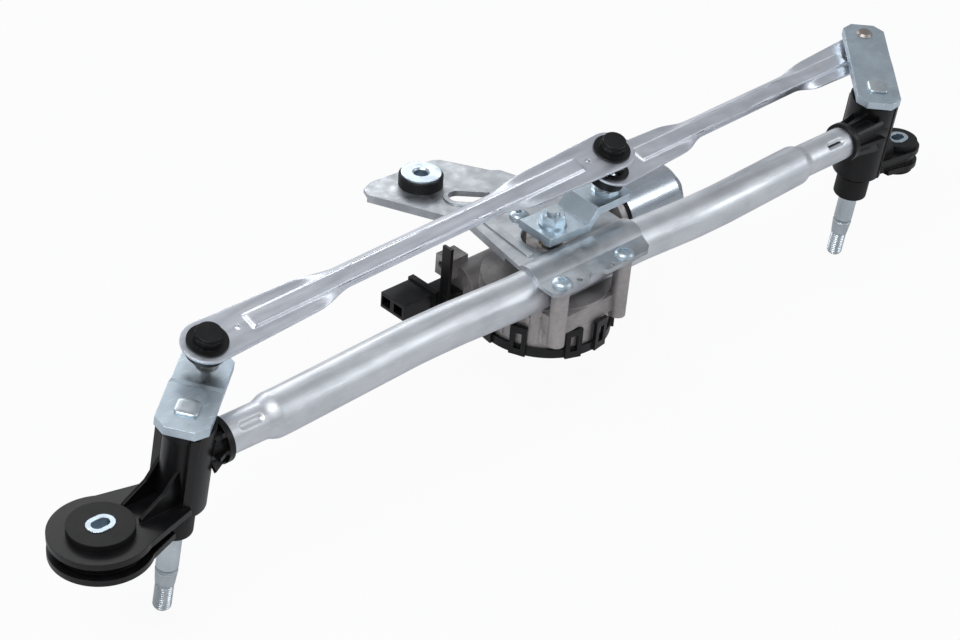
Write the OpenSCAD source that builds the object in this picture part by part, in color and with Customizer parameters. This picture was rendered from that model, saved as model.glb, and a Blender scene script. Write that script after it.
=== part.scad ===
// Two-arm windscreen wiper linkage with its motor, laid out on one frame tube.
// The plate lies flat, the motor axis stands upright in it, the tube runs along X.
// The origin is the middle of the mounting bush in the motor plate.

/* [Frame] */
// From the motor axis to the near wiper pivot, along the tube
near_reach = 272; // [240:1:300]
// From the motor axis to the far wiper pivot, along the tube
far_reach = 277; // [245:1:305]
// How far in front of the motor axis the tube runs
tube_set = 20.6; // [20.4:0.1:21]
// Outside diameter of the frame tube
tube_d = 25; // [23:0.5:25]
// Wall of the frame tube
tube_wall = 1.6; // [1.2:0.1:2.2]
// Depth of the tube axis under the top of the motor plate
tube_drop = 11.4; // [11:0.1:12]
// Diameter of the drawn-in tube ends
tube_end_d = 20.5; // [19:0.5:22]
// Length of the drawn-in tube end at the near pivot
near_neck_length = 24; // [22:1:30]
// Length of the drawn-in tube end at the far pivot
far_neck_length = 40; // [30:1:44]

/* [Pivots] */
// Diameter of a wiper spindle
spindle_d = 12; // [10:0.5:13]
// Length of a spindle from the top of its lever to the tip of its thread
spindle_length = 133; // [128:1:138]
// Forward lean of both spindles
spindle_lean = 6; // [0:0.5:6]
// Height of the lever top over the motor plate at the spindle
lever_height = 15; // [14:0.5:16]
// Outside diameter of the housing barrel
barrel_d = 31; // [29:0.5:33]
// How far behind the tube axis the near spindle stands
near_side = 4; // [3:0.5:5]
// How far behind the tube axis the far spindle stands
far_side = 7; // [6:0.5:8]

/* [Mounting ears] */
// From the near spindle to the rubber-mounted hole in its ear
near_ear_reach = 48.5; // [47:0.5:52]
// From the far spindle to the rubber-mounted hole in its ear
far_ear_reach = 34.6; // [34:0.2:38]
// Diameter of the near ear
near_ear_d = 53; // [48:1:56]
// Diameter of the far ear
far_ear_d = 30; // [29:0.5:32]
// Width of the slot in the ear sleeve
ear_slot_w = 6.5; // [6:0.1:7.5]
// Length of the slot in the ear sleeve
ear_slot_l = 10; // [9:0.5:11]

/* [Levers and rods] */
// Ball centre to spindle on the near lever
near_lever_length = 41.4; // [40:0.2:43]
// Ball centre to spindle on the far lever
far_lever_length = 61.9; // [60:0.1:64]
// Rest angle of the near lever from the tube line
near_lever_angle = 39.6; // [38:0.1:41]
// Rest angle of the far lever from the tube line
far_lever_angle = 46.8; // [45:0.1:48]
// Thickness of lever and crank steel
lever_t = 5; // [4.5:0.1:5.5]
// Width of a lever at its spindle end
lever_w = 27.6; // [26:0.2:29]
// Ball centre to motor axis on the crank
crank_length = 40; // [38:0.5:41]
// Rest angle of the crank from the tube line
crank_angle = -3; // [-5:0.5:0]
// Sideways roll of both rods about their length
rod_roll = 16; // [10:1:16]
// Width of a rod at its round ends
rod_end_w = 27.5; // [26:0.5:28]
// Width of the raised web that runs along a rod
rod_web_w = 8.5; // [8:0.1:9.5]
// Thickness of the rod sheet
rod_t = 1.6; // [1.4:0.1:2]

/* [Motor] */
// Thickness of the motor plate
plate_t = 2.6; // [2.2:0.1:3]
// Diameter of the worm gear chamber
gear_case_d = 76; // [74:1:80]
// Outside diameter of the motor can
can_d = 42; // [40:0.5:44]
// Length of the motor can
can_length = 52; // [48:1:60]
// From the motor axis to the worm axis
worm_set = 36.5; // [35:0.5:38]
// Turn of the motor against the tube line
motor_turn = 0; // [-2:0.5:2]
// Diameter of the hole in the plate bush
bush_bore_d = 8.4; // [8:0.1:9]

/* [Hidden] */
$fn = 48;
// smallest amount by which a cut passes a face
over = 0.5;
// radial play of a spindle or shaft in its bush
run_fit = 0.05;
// play of a part that is pushed or moulded into its seat
seat_fit = 0.02;
// the mounting bush in the plate, from the motor axis
bush_x = -19.6;
bush_y = 88;
bush_z = -plate_t / 2;
tube_r = tube_d / 2;
tube_end_r = tube_end_d / 2;
tube_z = -tube_drop;
near_x = -near_reach;
far_x = far_reach;
barrel_r = barrel_d / 2;
spindle_r = spindle_d / 2;
spindle_up = lever_height + tube_drop;
spindle_splay = 3;

// housing
washer_t = 1.5;
end_play = 0.3;
barrel_top = spindle_up - lever_t - washer_t - end_play;
near_barrel_bottom = -36;
far_barrel_bottom = -41;
core_step = 5;
barrel_core_r = barrel_r - core_step;
bearing_wall = 2.2;
barrel_bore_r = spindle_r + bearing_wall;
barrel_collar_h = 6;
shell_t = 2.6;
shell_from = -118;
shell_to = 96;
shell_end_from = -118;
shell_end_to = -100;
shell_low = 4;
shell_end_out = 0.6;
collar_gap = 1;
collar_out = 2;
wing_reach = 18.8;
wing_t = 3;
wing_slant = 8;
fin_angles = [-78, -52, -26, 0, 26, 52, 78];
fin_t = 2.2;
washer_rim = 3;
washer_r = spindle_r + washer_rim;
bearing_l = 15;
spigot_r = 9.4;
near_spigot_end = 17.5;
far_spigot_end = 34;
spigot_flange_rim = 2.4;
spigot_flange_r = tube_end_r + spigot_flange_rim;
spigot_flange_t = 3;
plug_l = 26;
gusset_t = 2.4;
gusset_count = 8;
gusset_step = 2;
stake_w = 4.2;
stake_l = 15;
stake_depth = 1;
stake_at = 13;
neck_cone_share = 3;
stake_turn = -20;

// ears
ear_top = -26;
ear_h = 13.5;
ear_flange_t = 3.4;
near_ear_step = 5;
far_ear_step = 2.4;
near_hole_r = 12.5;
far_hole_r = 9.9;
near_neck_w = 30;
far_neck_w = 22;
neck_step = 8;
ear_web_y_share = 0.7;
ear_web_top_share = 0.45;
ear_web_first = 70;
ear_web_span = 220;
ear_neck_x = -15;
ear_root_x = -5;
ear_set = 5;
ear_gusset_h = 24;
ear_web_t = 2;
web_gap = 1;
ear_web_count = 5;
near_flange_r = 17;
far_flange_r = 13;
grommet_flange_t = 3.6;
sleeve_wall = 2.7;
sleeve_stand = 0.4;

// spindle
clip_groove = 0.6;
groove_r = spindle_r - clip_groove;
circlip_t = 1.2;
neck_top_r = 4.6;
seal_h = 15;
seal_r = 10.8;
seal_wall = 1.2;
thread_r = 5;
thread_l = 17;
thread_pitch = 1.5;
knurl_l = 9;
knurl_count = 30;
knurl_depth = 0.4;
neck_groove_l = 3;
thread_depth = 0.8;
groove_depth = 0.8;
groove_slope = 0.4;
knurl_step = 0.2;
shoulder_l = 1;
circlip_rim = 2.2;
circlip_gap = 3.2;
rivet_round = 3.4;
rivet_w = 12.4;
rivet_h = 1.5;

// levers
lever_taper = 0.6;
lever_end_w = lever_w - lever_taper;
lever_tail = 17;
lever_nose = 10.5;
lever_chamfer = 6;
near_joggle = 2.2;
joggle_start_share = 0.42;
joggle_end_share = 0.56;
loose_ball_r = 3.5;
loose_neck_r = 2.6;
near_ball_up = 9.2;
far_ball_down = 12;
stud_collar_r = 6;
stud_collar_t = 1.2;
stud_rivet_r = 5.4;
stud_rivet_h = 1.6;
stud_shank_r = 4;
stud_rivet_taper = 1.4;

// crank and its double ball stud
crank_under = 4.4;
crank_step = 8.6;
crank_w = 26;
crank_tail = 13;
crank_nose = 11.5;
crank_step_in = 17;
crank_step_out = 24;
crank_bend = 1;
crank_corner = 3;
shaft_end_r = 4;
shaft_end_z = 18;
nut_r = 7.5;
nut_h = 6.6;
nut_flange_r = 8.4;
nut_flange_h = 1.4;
nut_cone_low_r = 8.6;
nut_cone_top_r = 6.6;
stud_base_r = 6.4;
stud_base_h = 1.4;
stud_root_r = 5;
crank_washer_step = 0.6;
low_ball_rise = 8.6;
ball_gap = 12.6;
crank_top = crank_under + crank_step + lever_t;
crank_ball_r = 6.5;
crank_neck_r = 3.2;
low_ball_z = crank_top + low_ball_rise;
high_ball_z = low_ball_z + ball_gap;
crank_washer_r = 7.4;
crank_washer_t = 0.6;
stud_hex_r = 8.2;
stud_hex_t = 1.6;

// rods and ball sockets
sheet_up = 6;
socket_r = 10.8;
socket_neck_r = 9.7;
socket_low = -1.4;
socket_flange_t = 1.2;
socket_mouth_r = 5.9;
socket_lip = 3.2;
socket_lower = 1;
socket_roof = 0.2;
far_socket_drop = 3.4;
far_socket_floor = 1.8;
far_socket_round = 1.5;
far_socket_base = 4;
far_socket_base_h = 1.6;
cap_step = 2;
cap_inset = 1;
socket_cavity_r = 8.2;
ball_fit = 0.05;
cap_dome_r = 7.6;
cap_dome_h = 6.4;
cap_dome_sides = 10;
rod_end_r = rod_end_w / 2;
web_rise = 1.5;
web_start = 25;
wing_w = 23;
wing_end = 62;
flange_mid = 74;
flange_end = 84;
back_slope = 38;
back_flange = 6.4;
front_slope = 75;
front_flange = 4.5;
flange_fade = 1;
front_fade = 0.6;
rod_hole_r = 1.6;
rod_hole_at = 18.5;

// motor plate
post_r = 5;
post_gap = 0.3;
screw_front_y = -tube_set - tube_r - post_r - post_gap;
screw_left_x = -29.8;
screw_right_x = 20;
screw_back_x = 1.3;
screw_back_y = 27;
screw_r = 2.5;
screw_head_r = 6;
screw_head_h = 3.2;
screw_l = 18;
screw_end = 1;
recess_r = 2.2;
recess_depth = 1.6;
post_low = -40;
case_gap = 0.5;
post_wall = 12;
post_wall_top = 1;
back_post_rim = 0.5;
boss_h = 20;
rib_t = 2.4;
rib_l = 21;
rib_root = 2;
rib_first = -50;
rib_last = 230;
rib_turn = 40;
buttress_first = 150;
buttress_last = 222;
buttress_turn = 12;
buttress_out = 0.8;
buttress_in = 2;
buttress_end = 6;
lug_x = -6;
lug_y = 2;
lug_z = 4;
lug_l = 14;
lug_w = 12;
lug_h = 13;
lug_hole_y = 9;
lug_hole_z = 11;
lug_hole_r = 2.6;
tunnel_end = 3;
worm_gap = 0.4;
shaft_hole_r = 17;
saddle_edge = 1;
saddle_r = tube_r + seat_fit + plate_t;
plate_lip = 5.2;
slot_x = -6;
slot_y = 57;
slot_turn = -43;
slot_l = 30;
slot_w = 12;
slot_rim = 3;
slot_rim_h = 1;
bead_x = -20.5;
bead_y = 14;
bead_turn = 83;
bead_l = 44;
bead_w = 5;
bead_h = 0.9;
tool_hole_left = -18.5;
tool_hole_right = 7.4;
tool_hole_y = -41.2;
tool_hole_r = 1.6;
screw_play = 0.4;
recess_w = 1.2;
bush_half = 9.3;
bush_r = bush_bore_d / 2;
bush_wall = 2.4;
bush_flange_r = 11.9;
bush_flange_t = 1.6;
plate_hole_r = 9.4;
plate_grommet_r = 13.2;
plate_grommet_step = 1;
bush_chamfer = 1;

// gear case
case_wall = 3;
case_top = -tube_drop - tube_r - case_gap;
case_boss_r = 7.4;
shaft_r = 5;
shaft_bush_wall = 1.2;
shaft_bush_l = 19;
worm_z = -38;
worm_r = 6.4;
worm_l = 30;
tunnel_r = 12;
tunnel_bore_r = 10;
tunnel_left = -34;
tunnel_right = 83;
motor_flange_t = 5;
cover_t = 2.6;
cover_rim = 1.8;
cover_skirt = 3;
cover_gap = 0.4;
case_bottom = worm_z - tunnel_r - cover_skirt - cover_gap;
clip_w = 10;
clip_h = 19;
clip_t = 2.2;
clip_gap = 1;
clip_leg_share = 0.28;
clip_angles = [-8, 172, 204, 250, 278, 318];
wheel_h = 12;
wheel_teeth = 44;
wheel_tooth = 2.2;
wheel_recess = 3;
wheel_rim_w = 7;
wheel_hub_w = 5;
shaft_below = 4;
wheel_r = worm_set - worm_r - worm_gap;
case_r = gear_case_d / 2;

// connector
connector_x = -72;
connector_in = 4;
connector_down = 12;
connector_l = 26;
connector_w = 20;
connector_h = 10;
pocket_wall = 2;
pocket_l = 18;
connector_rim_l = 4;
connector_rim_out = 1.5;
connector_rim_up = 1;
foot_in = 4;
foot_out = 14;
pin_l = 8;
pin_w = 0.8;
pin_h = 2;
tab_t = 2;
tab_w = 7;
tab_h = 42;

// can and armature
can_r = can_d / 2;
can_wall = 1.8;
can_seal_t = 2;
can_seal_out = 0.6;
can_seal_in = 5;
can_start = tunnel_right + motor_flange_t + can_seal_t;
can_rim_w = 1.4;
can_rim_h = 2.5;
can_rim_slope = 1;
// steps in from the wall and back from the end, round the can's outer and inner corner
can_corner = [[0, 7], [1.4, 3.6], [4, 1.4], [7, 0.4]];
can_inner_corner = [[6.2, 0], [4, 2], [0, 6.2]];
can_boss_foot_r = 12;
can_boss_r = 11;
can_boss_end_r = 9;
can_boss_side = 5;
can_boss_l = 7;
magnet_t = 5;
magnet_from = 14;
magnet_l = 29.4;
magnet_count = 4;
magnet_angle = 62;
air_gap = 0.8;
core_r = can_r - can_wall - magnet_t - air_gap;
core_l = 26;
core_slots = 12;
arm_shaft_r = 4;
commutator_r = 8;
commutator_l = 10;
commutator_at = 5;
core_slot_depth = 5;
core_slot_w = 1.6;
brush_at = 3;
brush_card_t = 3;
brush_card_gap = 2;
brush_gap = 0.2;
brush_sink = 1;
brush_l = 9;
brush_w = 6;
brush_h = 7;
arm_shaft_from = 4;
arm_shaft_past = 3;
worm_turns = 8;
worm_tooth = 1.8;
arm_bearing_l = 7;
arm_bearing_in = 6;
arm_bearing_gap = 1;

// places

function turn_x(v, a) = [v[0], v[1] * cos(a) - v[2] * sin(a), v[1] * sin(a) + v[2] * cos(a)];

function turn_y(v, a) = [v[0] * cos(a) + v[2] * sin(a), v[1], v[2] * cos(a) - v[0] * sin(a)];

// a point of a pivot, from its own spindle axes into the plate's axes
function from_pivot(v, x, side, way) =
  let (w = turn_y(turn_x(v, spindle_lean), spindle_splay))
  [x + way * w[0], w[1] + side - tube_set, w[2] + tube_z];

near_ball = from_pivot(
  [near_lever_length * cos(near_lever_angle), near_lever_length * sin(near_lever_angle),
   spindle_up - near_joggle + near_ball_up],
  near_x, near_side, 1);
far_ball = from_pivot(
  [-far_lever_length * cos(far_lever_angle), far_lever_length * sin(far_lever_angle),
   spindle_up - lever_t - far_ball_down],
  far_x, far_side, -1);
crank_ball = [crank_length * cos(crank_angle), crank_length * sin(crank_angle), 0];
// the loose sockets sit a little off their balls, see the play at the opened joints
near_play_x = -1.89;
near_play_y = -0.42;
near_play = [near_play_x, near_play_y, 0];
far_play_x = -2.28;
far_play_y = -0.91;
far_play = [far_play_x, far_play_y, 0];
near_rod_from = near_ball + near_play;
near_rod_to = crank_ball + [0, 0, high_ball_z];
far_rod_from = far_ball + far_play;
far_rod_to = crank_ball + [0, 0, low_ball_z];
near_rod_length = norm(near_rod_to - near_rod_from);
far_rod_length = norm(far_rod_to - far_rod_from);

// the origin moves to the middle of the mounting bush
module in_frame() {
  translate([-bush_x, -bush_y, -bush_z])
    children();
}

module at_motor() {
  in_frame()
    rotate([0, 0, motor_turn])
      children();
}

module at_crank() {
  in_frame()
    rotate([0, 0, crank_angle])
      children();
}

// tube axes at a pivot, x pointing to the motor
module at_end(x, side, way) {
  in_frame()
    translate([x, side - tube_set, tube_z])
      mirror([way < 0 ? 1 : 0, 0, 0])
        children();
}

// spindle axes at a pivot, z up the spindle
module at_pivot(x, side, way) {
  at_end(x, side, way)
    rotate([spindle_lean, spindle_splay, 0])
      children();
}

// rod axes: x runs from ball to ball, z is the rolled sheet's normal
module along_rod(from, to) {
  span = to - from;
  in_frame()
    translate(from)
      rotate([0, 0, atan2(span[1], span[0])])
        rotate([0, -asin(span[2] / norm(span)), 0])
          rotate([rod_roll, 0, 0])
            children();
}

// shared shapes

module ring(r_out, r_in, h) {
  difference() {
    cylinder(r = r_out, h = h);
    translate([0, 0, -over])
      cylinder(r = r_in, h = h + 2 * over);
  }
}

module bar_x(r, l) {
  rotate([0, 90, 0])
    cylinder(r = r, h = l);
}

module slot_2d(l, w) {
  translate([-(l - w) / 2, 0])
    circle(d = w);
  translate([(l - w) / 2, 0])
    circle(d = w);
  square([l - w, w], center = true);
}

// frame tube

module frame_tube() {
  from = near_x + near_spigot_end + spigot_flange_t;
  to = far_x - far_spigot_end - spigot_flange_t;
  cone = (tube_r - tube_end_r) * neck_cone_share;
  color("silver")
    in_frame()
      translate([0, -tube_set, tube_z])
        difference() {
          rotate([0, 90, 0])
            rotate_extrude()
              polygon([
                [tube_end_r - tube_wall, from],
                [tube_end_r, from],
                [tube_end_r, from + near_neck_length],
                [tube_r, from + near_neck_length + cone],
                [tube_r, to - far_neck_length - cone],
                [tube_end_r, to - far_neck_length],
                [tube_end_r, to],
                [tube_end_r - tube_wall, to],
                [tube_end_r - tube_wall, to - far_neck_length],
                [tube_r - tube_wall, to - far_neck_length - cone],
                [tube_r - tube_wall, from + near_neck_length + cone],
                [tube_end_r - tube_wall, from + near_neck_length]
              ]);
          for (x = [from + stake_at, to - stake_at])
            for (a = [stake_turn, stake_turn + 180])
              translate([x, 0, 0])
                rotate([a, 0, 0])
                  translate([0, 0, tube_end_r - stake_depth])
                    linear_extrude(stake_depth + over)
                      slot_2d(stake_l, stake_w);
        }
}

// pivots

module ear_outline(reach, r, w, x) {
  translate([-reach, 0])
    circle(r = r);
  polygon([
    [-reach, r],
    [x, w / 2],
    [x, -w / 2],
    [-reach, -r]
  ]);
}

module housing_ear(reach, r, step, hole_r, neck_w, low, flange_r) {
  web_end = flange_r + web_gap - reach;
  floor_z = max(low, ear_top - ear_h);
  difference() {
    union() {
      translate([0, 0, ear_top - ear_flange_t])
        linear_extrude(ear_flange_t)
          ear_outline(reach, r, neck_w, ear_root_x);
      translate([0, 0, floor_z + ear_flange_t / 2])
        linear_extrude(ear_top - ear_flange_t - floor_z)
          ear_outline(reach, r - step, neck_w - neck_step, ear_root_x);
      translate([0, 0, ear_top - ear_h + ear_flange_t / 2])
        linear_extrude(ear_h - ear_flange_t)
          ear_outline(reach, r - step, neck_w - neck_step, ear_neck_x);
      translate([0, 0, ear_top - ear_h])
        linear_extrude(ear_flange_t)
          ear_outline(reach, r, neck_w, ear_neck_x);
      // webs that slope from the barrel down to the ear
      for (y = [-ear_web_y_share * barrel_core_r, ear_web_y_share * barrel_core_r])
        translate([0, y + ear_web_t / 2, ear_top - over])
          rotate([90, 0, 0])
            linear_extrude(ear_web_t)
              polygon([
                [ear_root_x, 0],
                [web_end, 0],
                [web_end, over + ear_web_t],
                [-barrel_r - web_gap, ear_gusset_h * ear_web_top_share],
                [ear_root_x, ear_gusset_h]
              ]);
      for (i = [0 : ear_web_count - 1])
        translate([-reach, 0, ear_top - ear_h])
          rotate([0, 0, ear_web_first + i * ear_web_span / (ear_web_count - 1)])
            translate([0, -ear_web_t / 2, ear_flange_t / 2])
              cube([r - web_gap, ear_web_t, ear_h - ear_flange_t]);
    }
    translate([-reach, 0, ear_top - ear_h - over])
      cylinder(r = hole_r, h = ear_h + 2 * over);
  }
}

module pivot_housing(x, side, way) {
  low = barrel_low(way);
  color([0.09, 0.09, 0.1]) {
    at_pivot(x, side, way)
      difference() {
        union() {
          translate([0, 0, low])
            cylinder(r = barrel_core_r, h = barrel_top - low);
          translate([0, 0, barrel_top - barrel_collar_h])
            cylinder(r = barrel_core_r + collar_out, h = barrel_collar_h);
          // smooth shell round the side that looks along the tube
          translate([0, 0, low + shell_low])
            arc_wall(barrel_r, barrel_r - shell_t, shell_from, shell_to,
                 barrel_top - low - shell_low);
          translate([0, 0, low + shell_low])
            arc_wall(barrel_r + shell_end_out, barrel_core_r - collar_gap, shell_end_from, shell_end_to,
                 barrel_top - low - shell_low - collar_gap);
          for (a = fin_angles)
            rotate([0, 0, a])
              translate([barrel_core_r - fin_t, -fin_t / 2, low + shell_low + fin_t])
                cube([
                  barrel_r - barrel_core_r + fin_t - shell_t / 2,
                  fin_t,
                  barrel_top - low - shell_low - 2 * fin_t
                ]);
          // upright wing behind the bare part of the barrel
          translate([-wing_t, 0, 0])
            rotate([90, 0, 90])
              linear_extrude(wing_t)
                polygon([
                  [barrel_core_r - fin_t, ear_top - ear_flange_t / 2],
                  [wing_reach, ear_top - ear_flange_t / 2],
                  [wing_reach, barrel_top - wing_slant],
                  [barrel_core_r - fin_t, barrel_top - collar_gap]
                ]);
          untilted_parts(side, way);
        }
        translate([0, 0, low - over - ear_h])
          cylinder(r = barrel_bore_r, h = barrel_top - low + 2 * over + ear_h);
      }
  }
}

module arc_wall(r_out, r_in, from, to, h) {
  rotate([0, 0, from])
    rotate_extrude(angle = to - from)
      translate([r_in, 0])
        square([r_out - r_in, h]);
}

function barrel_low(way) = way > 0 ? near_barrel_bottom : far_barrel_bottom;

function circlip_level(way) = barrel_low(way) - end_play - washer_t;

// spigot and ear keep square to the tube while the barrel leans
module untilted_parts(side, way) {
  end = way > 0 ? near_spigot_end : far_spigot_end;
  rotate([-spindle_lean, 0, 0])
    rotate([0, -spindle_splay, 0]) {
      translate([0, -side, 0]) {
        bar_x(spigot_r, end);
        translate([end - over, 0, 0])
          bar_x(spigot_flange_r, spigot_flange_t + over);
        translate([end, 0, 0])
          bar_x(tube_end_r - tube_wall - seat_fit, plug_l + spigot_flange_t);
        for (i = [0 : gusset_count - 1])
          rotate([i * 360 / gusset_count, 0, 0])
            translate([0, gusset_t / 2, 0])
              rotate([90, 0, 0])
                linear_extrude(gusset_t)
                  polygon([
                    [barrel_bore_r + gusset_t / 2, spigot_r / 2],
                    [end, spigot_r / 2],
                    [end, spigot_flange_r],
                    [end - gusset_step, spigot_flange_r - gusset_step / 2],
                    [barrel_bore_r + gusset_t / 2, barrel_r - gusset_step / 2]
                  ]);
      }
      translate([0, ear_set - side, 0])
        if (way > 0)
          housing_ear(near_ear_reach, near_ear_d / 2, near_ear_step, near_hole_r,
                near_neck_w, near_barrel_bottom, near_flange_r);
        else
          housing_ear(far_ear_reach, far_ear_d / 2, far_ear_step, far_hole_r,
                far_neck_w, far_barrel_bottom, far_flange_r);
    }
}

module pivot_bearings(x, side, way) {
  color([0.55, 0.42, 0.25])
    at_pivot(x, side, way)
      for (z = [barrel_low(way), barrel_top - bearing_l])
        translate([0, 0, z])
          ring(barrel_bore_r - seat_fit, spindle_r + run_fit, bearing_l);
}

module ear_grommet(x, side, way) {
  hole_r = way > 0 ? near_hole_r : far_hole_r;
  flange_r = way > 0 ? near_flange_r : far_flange_r;
  color([0.05, 0.05, 0.055])
    at_end(x, side, way)
      translate([-ear_reach(way), ear_set - side, ear_top - ear_h])
        difference() {
          union() {
            translate([0, 0, -grommet_flange_t])
              cylinder(r = flange_r, h = grommet_flange_t);
            translate([0, 0, -grommet_flange_t / 2])
              cylinder(r = hole_r - seat_fit, h = ear_h + grommet_flange_t);
            translate([0, 0, ear_h])
              cylinder(r = flange_r, h = grommet_flange_t);
          }
          translate([0, 0, -grommet_flange_t - over])
            linear_extrude(ear_h + 2 * grommet_flange_t + 2 * over)
              slot_2d(ear_slot_l + 2 * (sleeve_wall + seat_fit),
                  ear_slot_w + 2 * (sleeve_wall + seat_fit));
        }
}

function ear_reach(way) = way > 0 ? near_ear_reach : far_ear_reach;

module ear_sleeve(x, side, way) {
  h = ear_h + 2 * grommet_flange_t + 2 * sleeve_stand;
  color([0.78, 0.8, 0.82])
    at_end(x, side, way)
      translate([-ear_reach(way), ear_set - side, ear_top - ear_h - grommet_flange_t - sleeve_stand])
        difference() {
          linear_extrude(h)
            slot_2d(ear_slot_l + 2 * sleeve_wall, ear_slot_w + 2 * sleeve_wall);
          translate([0, 0, -over])
            linear_extrude(h + 2 * over)
              slot_2d(ear_slot_l, ear_slot_w);
        }
}

module spindle_seal(x, side, way) {
  color([0.06, 0.06, 0.065])
    at_pivot(x, side, way)
      translate([0, 0, barrel_low(way) - seal_h])
        difference() {
          cylinder(r = seal_r, h = seal_h);
          translate([0, 0, seal_wall])
            cylinder(r = seal_r - seal_wall, h = seal_h);
          translate([0, 0, -over])
            cylinder(r = spindle_r + run_fit, h = seal_h);
        }
}

module spindle(x, side, way) {
  tip = spindle_up - spindle_length;
  cone_from = tip + thread_l;
  cone_to = cone_from + knurl_l;
  clip_z = circlip_level(way);
  color([0.75, 0.76, 0.78])
    at_pivot(x, side, way) {
      difference() {
        rotate_extrude()
          polygon([
            [0, tip],
            [thread_r - shoulder_l, tip],
            [thread_r, tip + shoulder_l],
            for (z = [tip + 2 * shoulder_l : thread_pitch : cone_from - 2 * thread_pitch])
              each [[thread_r, z], [thread_r - thread_depth, z + thread_pitch / 2]],
            [thread_r, cone_from - thread_pitch],
            [thread_r, cone_from],
            [thread_r + knurl_step, cone_from],
            [spindle_r, cone_to],
            [spindle_r, cone_to + shoulder_l],
            [spindle_r - groove_depth, cone_to + shoulder_l + groove_slope],
            [spindle_r - groove_depth, cone_to + neck_groove_l],
            [spindle_r, cone_to + neck_groove_l + groove_slope],
            [spindle_r, clip_z - circlip_t - seat_fit],
            [groove_r, clip_z - circlip_t - seat_fit],
            [groove_r, clip_z],
            [spindle_r, clip_z],
            [spindle_r, spindle_up - lever_t - washer_t],
            [neck_top_r, spindle_up - lever_t - washer_t],
            [neck_top_r, spindle_up + rivet_h / 2],
            [0, spindle_up + rivet_h / 2]
          ]);
        for (i = [0 : knurl_count - 1])
          rotate([0, 0, i * 360 / knurl_count])
            translate([0, 0, cone_from])
              rotate([0, atan((spindle_r - thread_r - knurl_step) / knurl_l), 0])
                translate([thread_r + knurl_step, 0, 0])
                  rotate([0, 0, 45])
                    translate([-knurl_depth, -knurl_depth, 0])
                      cube([2 * knurl_depth, 2 * knurl_depth, knurl_l]);
      }
      // peened head over the lever
      translate([0, 0, spindle_up])
        linear_extrude(rivet_h)
          rounded_square(rivet_w, rivet_round);
    }
}

module rounded_square(w, r) {
  for (a = [45 : 90 : 315])
    rotate(a)
      translate([(w / 2 - r) * sqrt(2), 0])
        circle(r = r);
  square([w, w - 2 * r], center = true);
  square([w - 2 * r, w], center = true);
}

module pivot_washers(x, side, way) {
  color([0.7, 0.7, 0.72])
    at_pivot(x, side, way)
      for (z = [barrel_top + end_play, barrel_low(way) - end_play - washer_t])
        translate([0, 0, z])
          ring(washer_r, spindle_r + seat_fit, washer_t);
}

module circlip(x, side, way) {
  color([0.25, 0.25, 0.27])
    at_pivot(x, side, way)
      translate([0, 0, circlip_level(way) - circlip_t])
        difference() {
          ring(spindle_r + circlip_rim, groove_r + seat_fit, circlip_t - seat_fit);
          translate([0, -circlip_gap / 2, -over])
            cube([spindle_r + 2 * circlip_rim, circlip_gap, circlip_t + 2 * over]);
        }
}

// levers

module lever_outline(l) {
  c = lever_chamfer;
  polygon([
    [-lever_tail, lever_w / 2 - c],
    [c - lever_tail, lever_w / 2],
    [joggle_start_share * l, lever_w / 2],
    [joggle_end_share * l, lever_end_w / 2],
    [l + lever_nose - c, lever_end_w / 2],
    [l + lever_nose, lever_end_w / 2 - c],
    [l + lever_nose, c - lever_end_w / 2],
    [l + lever_nose - c, -lever_end_w / 2],
    [joggle_end_share * l, -lever_end_w / 2],
    [joggle_start_share * l, -lever_w / 2],
    [c - lever_tail, -lever_w / 2],
    [-lever_tail, c - lever_w / 2]
  ]);
}

// flat lever, or one with its ball end set down by the joggle
module lever_plate(l, joggle) {
  color([0.72, 0.76, 0.8])
    difference() {
      intersection() {
        translate([0, 0, spindle_up - lever_t - joggle - over])
          linear_extrude(lever_t + joggle + 2 * over)
            lever_outline(l);
        translate([0, lever_w, 0])
          rotate([90, 0, 0])
            linear_extrude(2 * lever_w)
              polygon([
                [-lever_w, spindle_up - lever_t],
                [joggle_start_share * l, spindle_up - lever_t],
                [joggle_end_share * l, spindle_up - lever_t - joggle],
                [l + lever_w, spindle_up - lever_t - joggle],
                [l + lever_w, spindle_up - joggle],
                [joggle_end_share * l, spindle_up - joggle],
                [joggle_start_share * l, spindle_up],
                [-lever_w, spindle_up]
              ]);
      }
      translate([0, 0, spindle_up - lever_t - over])
        cylinder(r = neck_top_r + seat_fit, h = lever_t + 2 * over);
      translate([l, 0, spindle_up - lever_t - joggle - over])
        cylinder(r = stud_shank_r + seat_fit, h = lever_t + 2 * over);
    }
}

module near_lever() {
  at_pivot(near_x, near_side, 1)
    rotate([0, 0, near_lever_angle])
      lever_plate(near_lever_length, near_joggle);
}

module far_lever() {
  at_pivot(far_x, far_side, -1)
    rotate([0, 0, 180 - far_lever_angle])
      lever_plate(far_lever_length, 0);
}

// ball stud riveted through a lever; up says on which side the ball stands
module lever_stud(rise) {
  color([0.7, 0.71, 0.73]) {
    translate([0, 0, -lever_t])
      cylinder(r = stud_shank_r, h = lever_t);
    cylinder(r = stud_collar_r, h = stud_collar_t);
    cylinder(r = loose_neck_r, h = rise);
    translate([0, 0, rise])
      sphere(r = loose_ball_r);
    translate([0, 0, -lever_t - stud_rivet_h])
      cylinder(r1 = stud_rivet_r - stud_rivet_taper, r2 = stud_rivet_r, h = stud_rivet_h);
  }
}

module near_ball_stud() {
  at_pivot(near_x, near_side, 1)
    rotate([0, 0, near_lever_angle])
      translate([near_lever_length, 0, spindle_up - near_joggle])
        lever_stud(near_ball_up);
}

module far_ball_stud() {
  at_pivot(far_x, far_side, -1)
    rotate([0, 0, 180 - far_lever_angle])
      translate([far_lever_length, 0, spindle_up - lever_t])
        rotate([180, 0, 0])
          lever_stud(far_ball_down);
}

// crank

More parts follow.
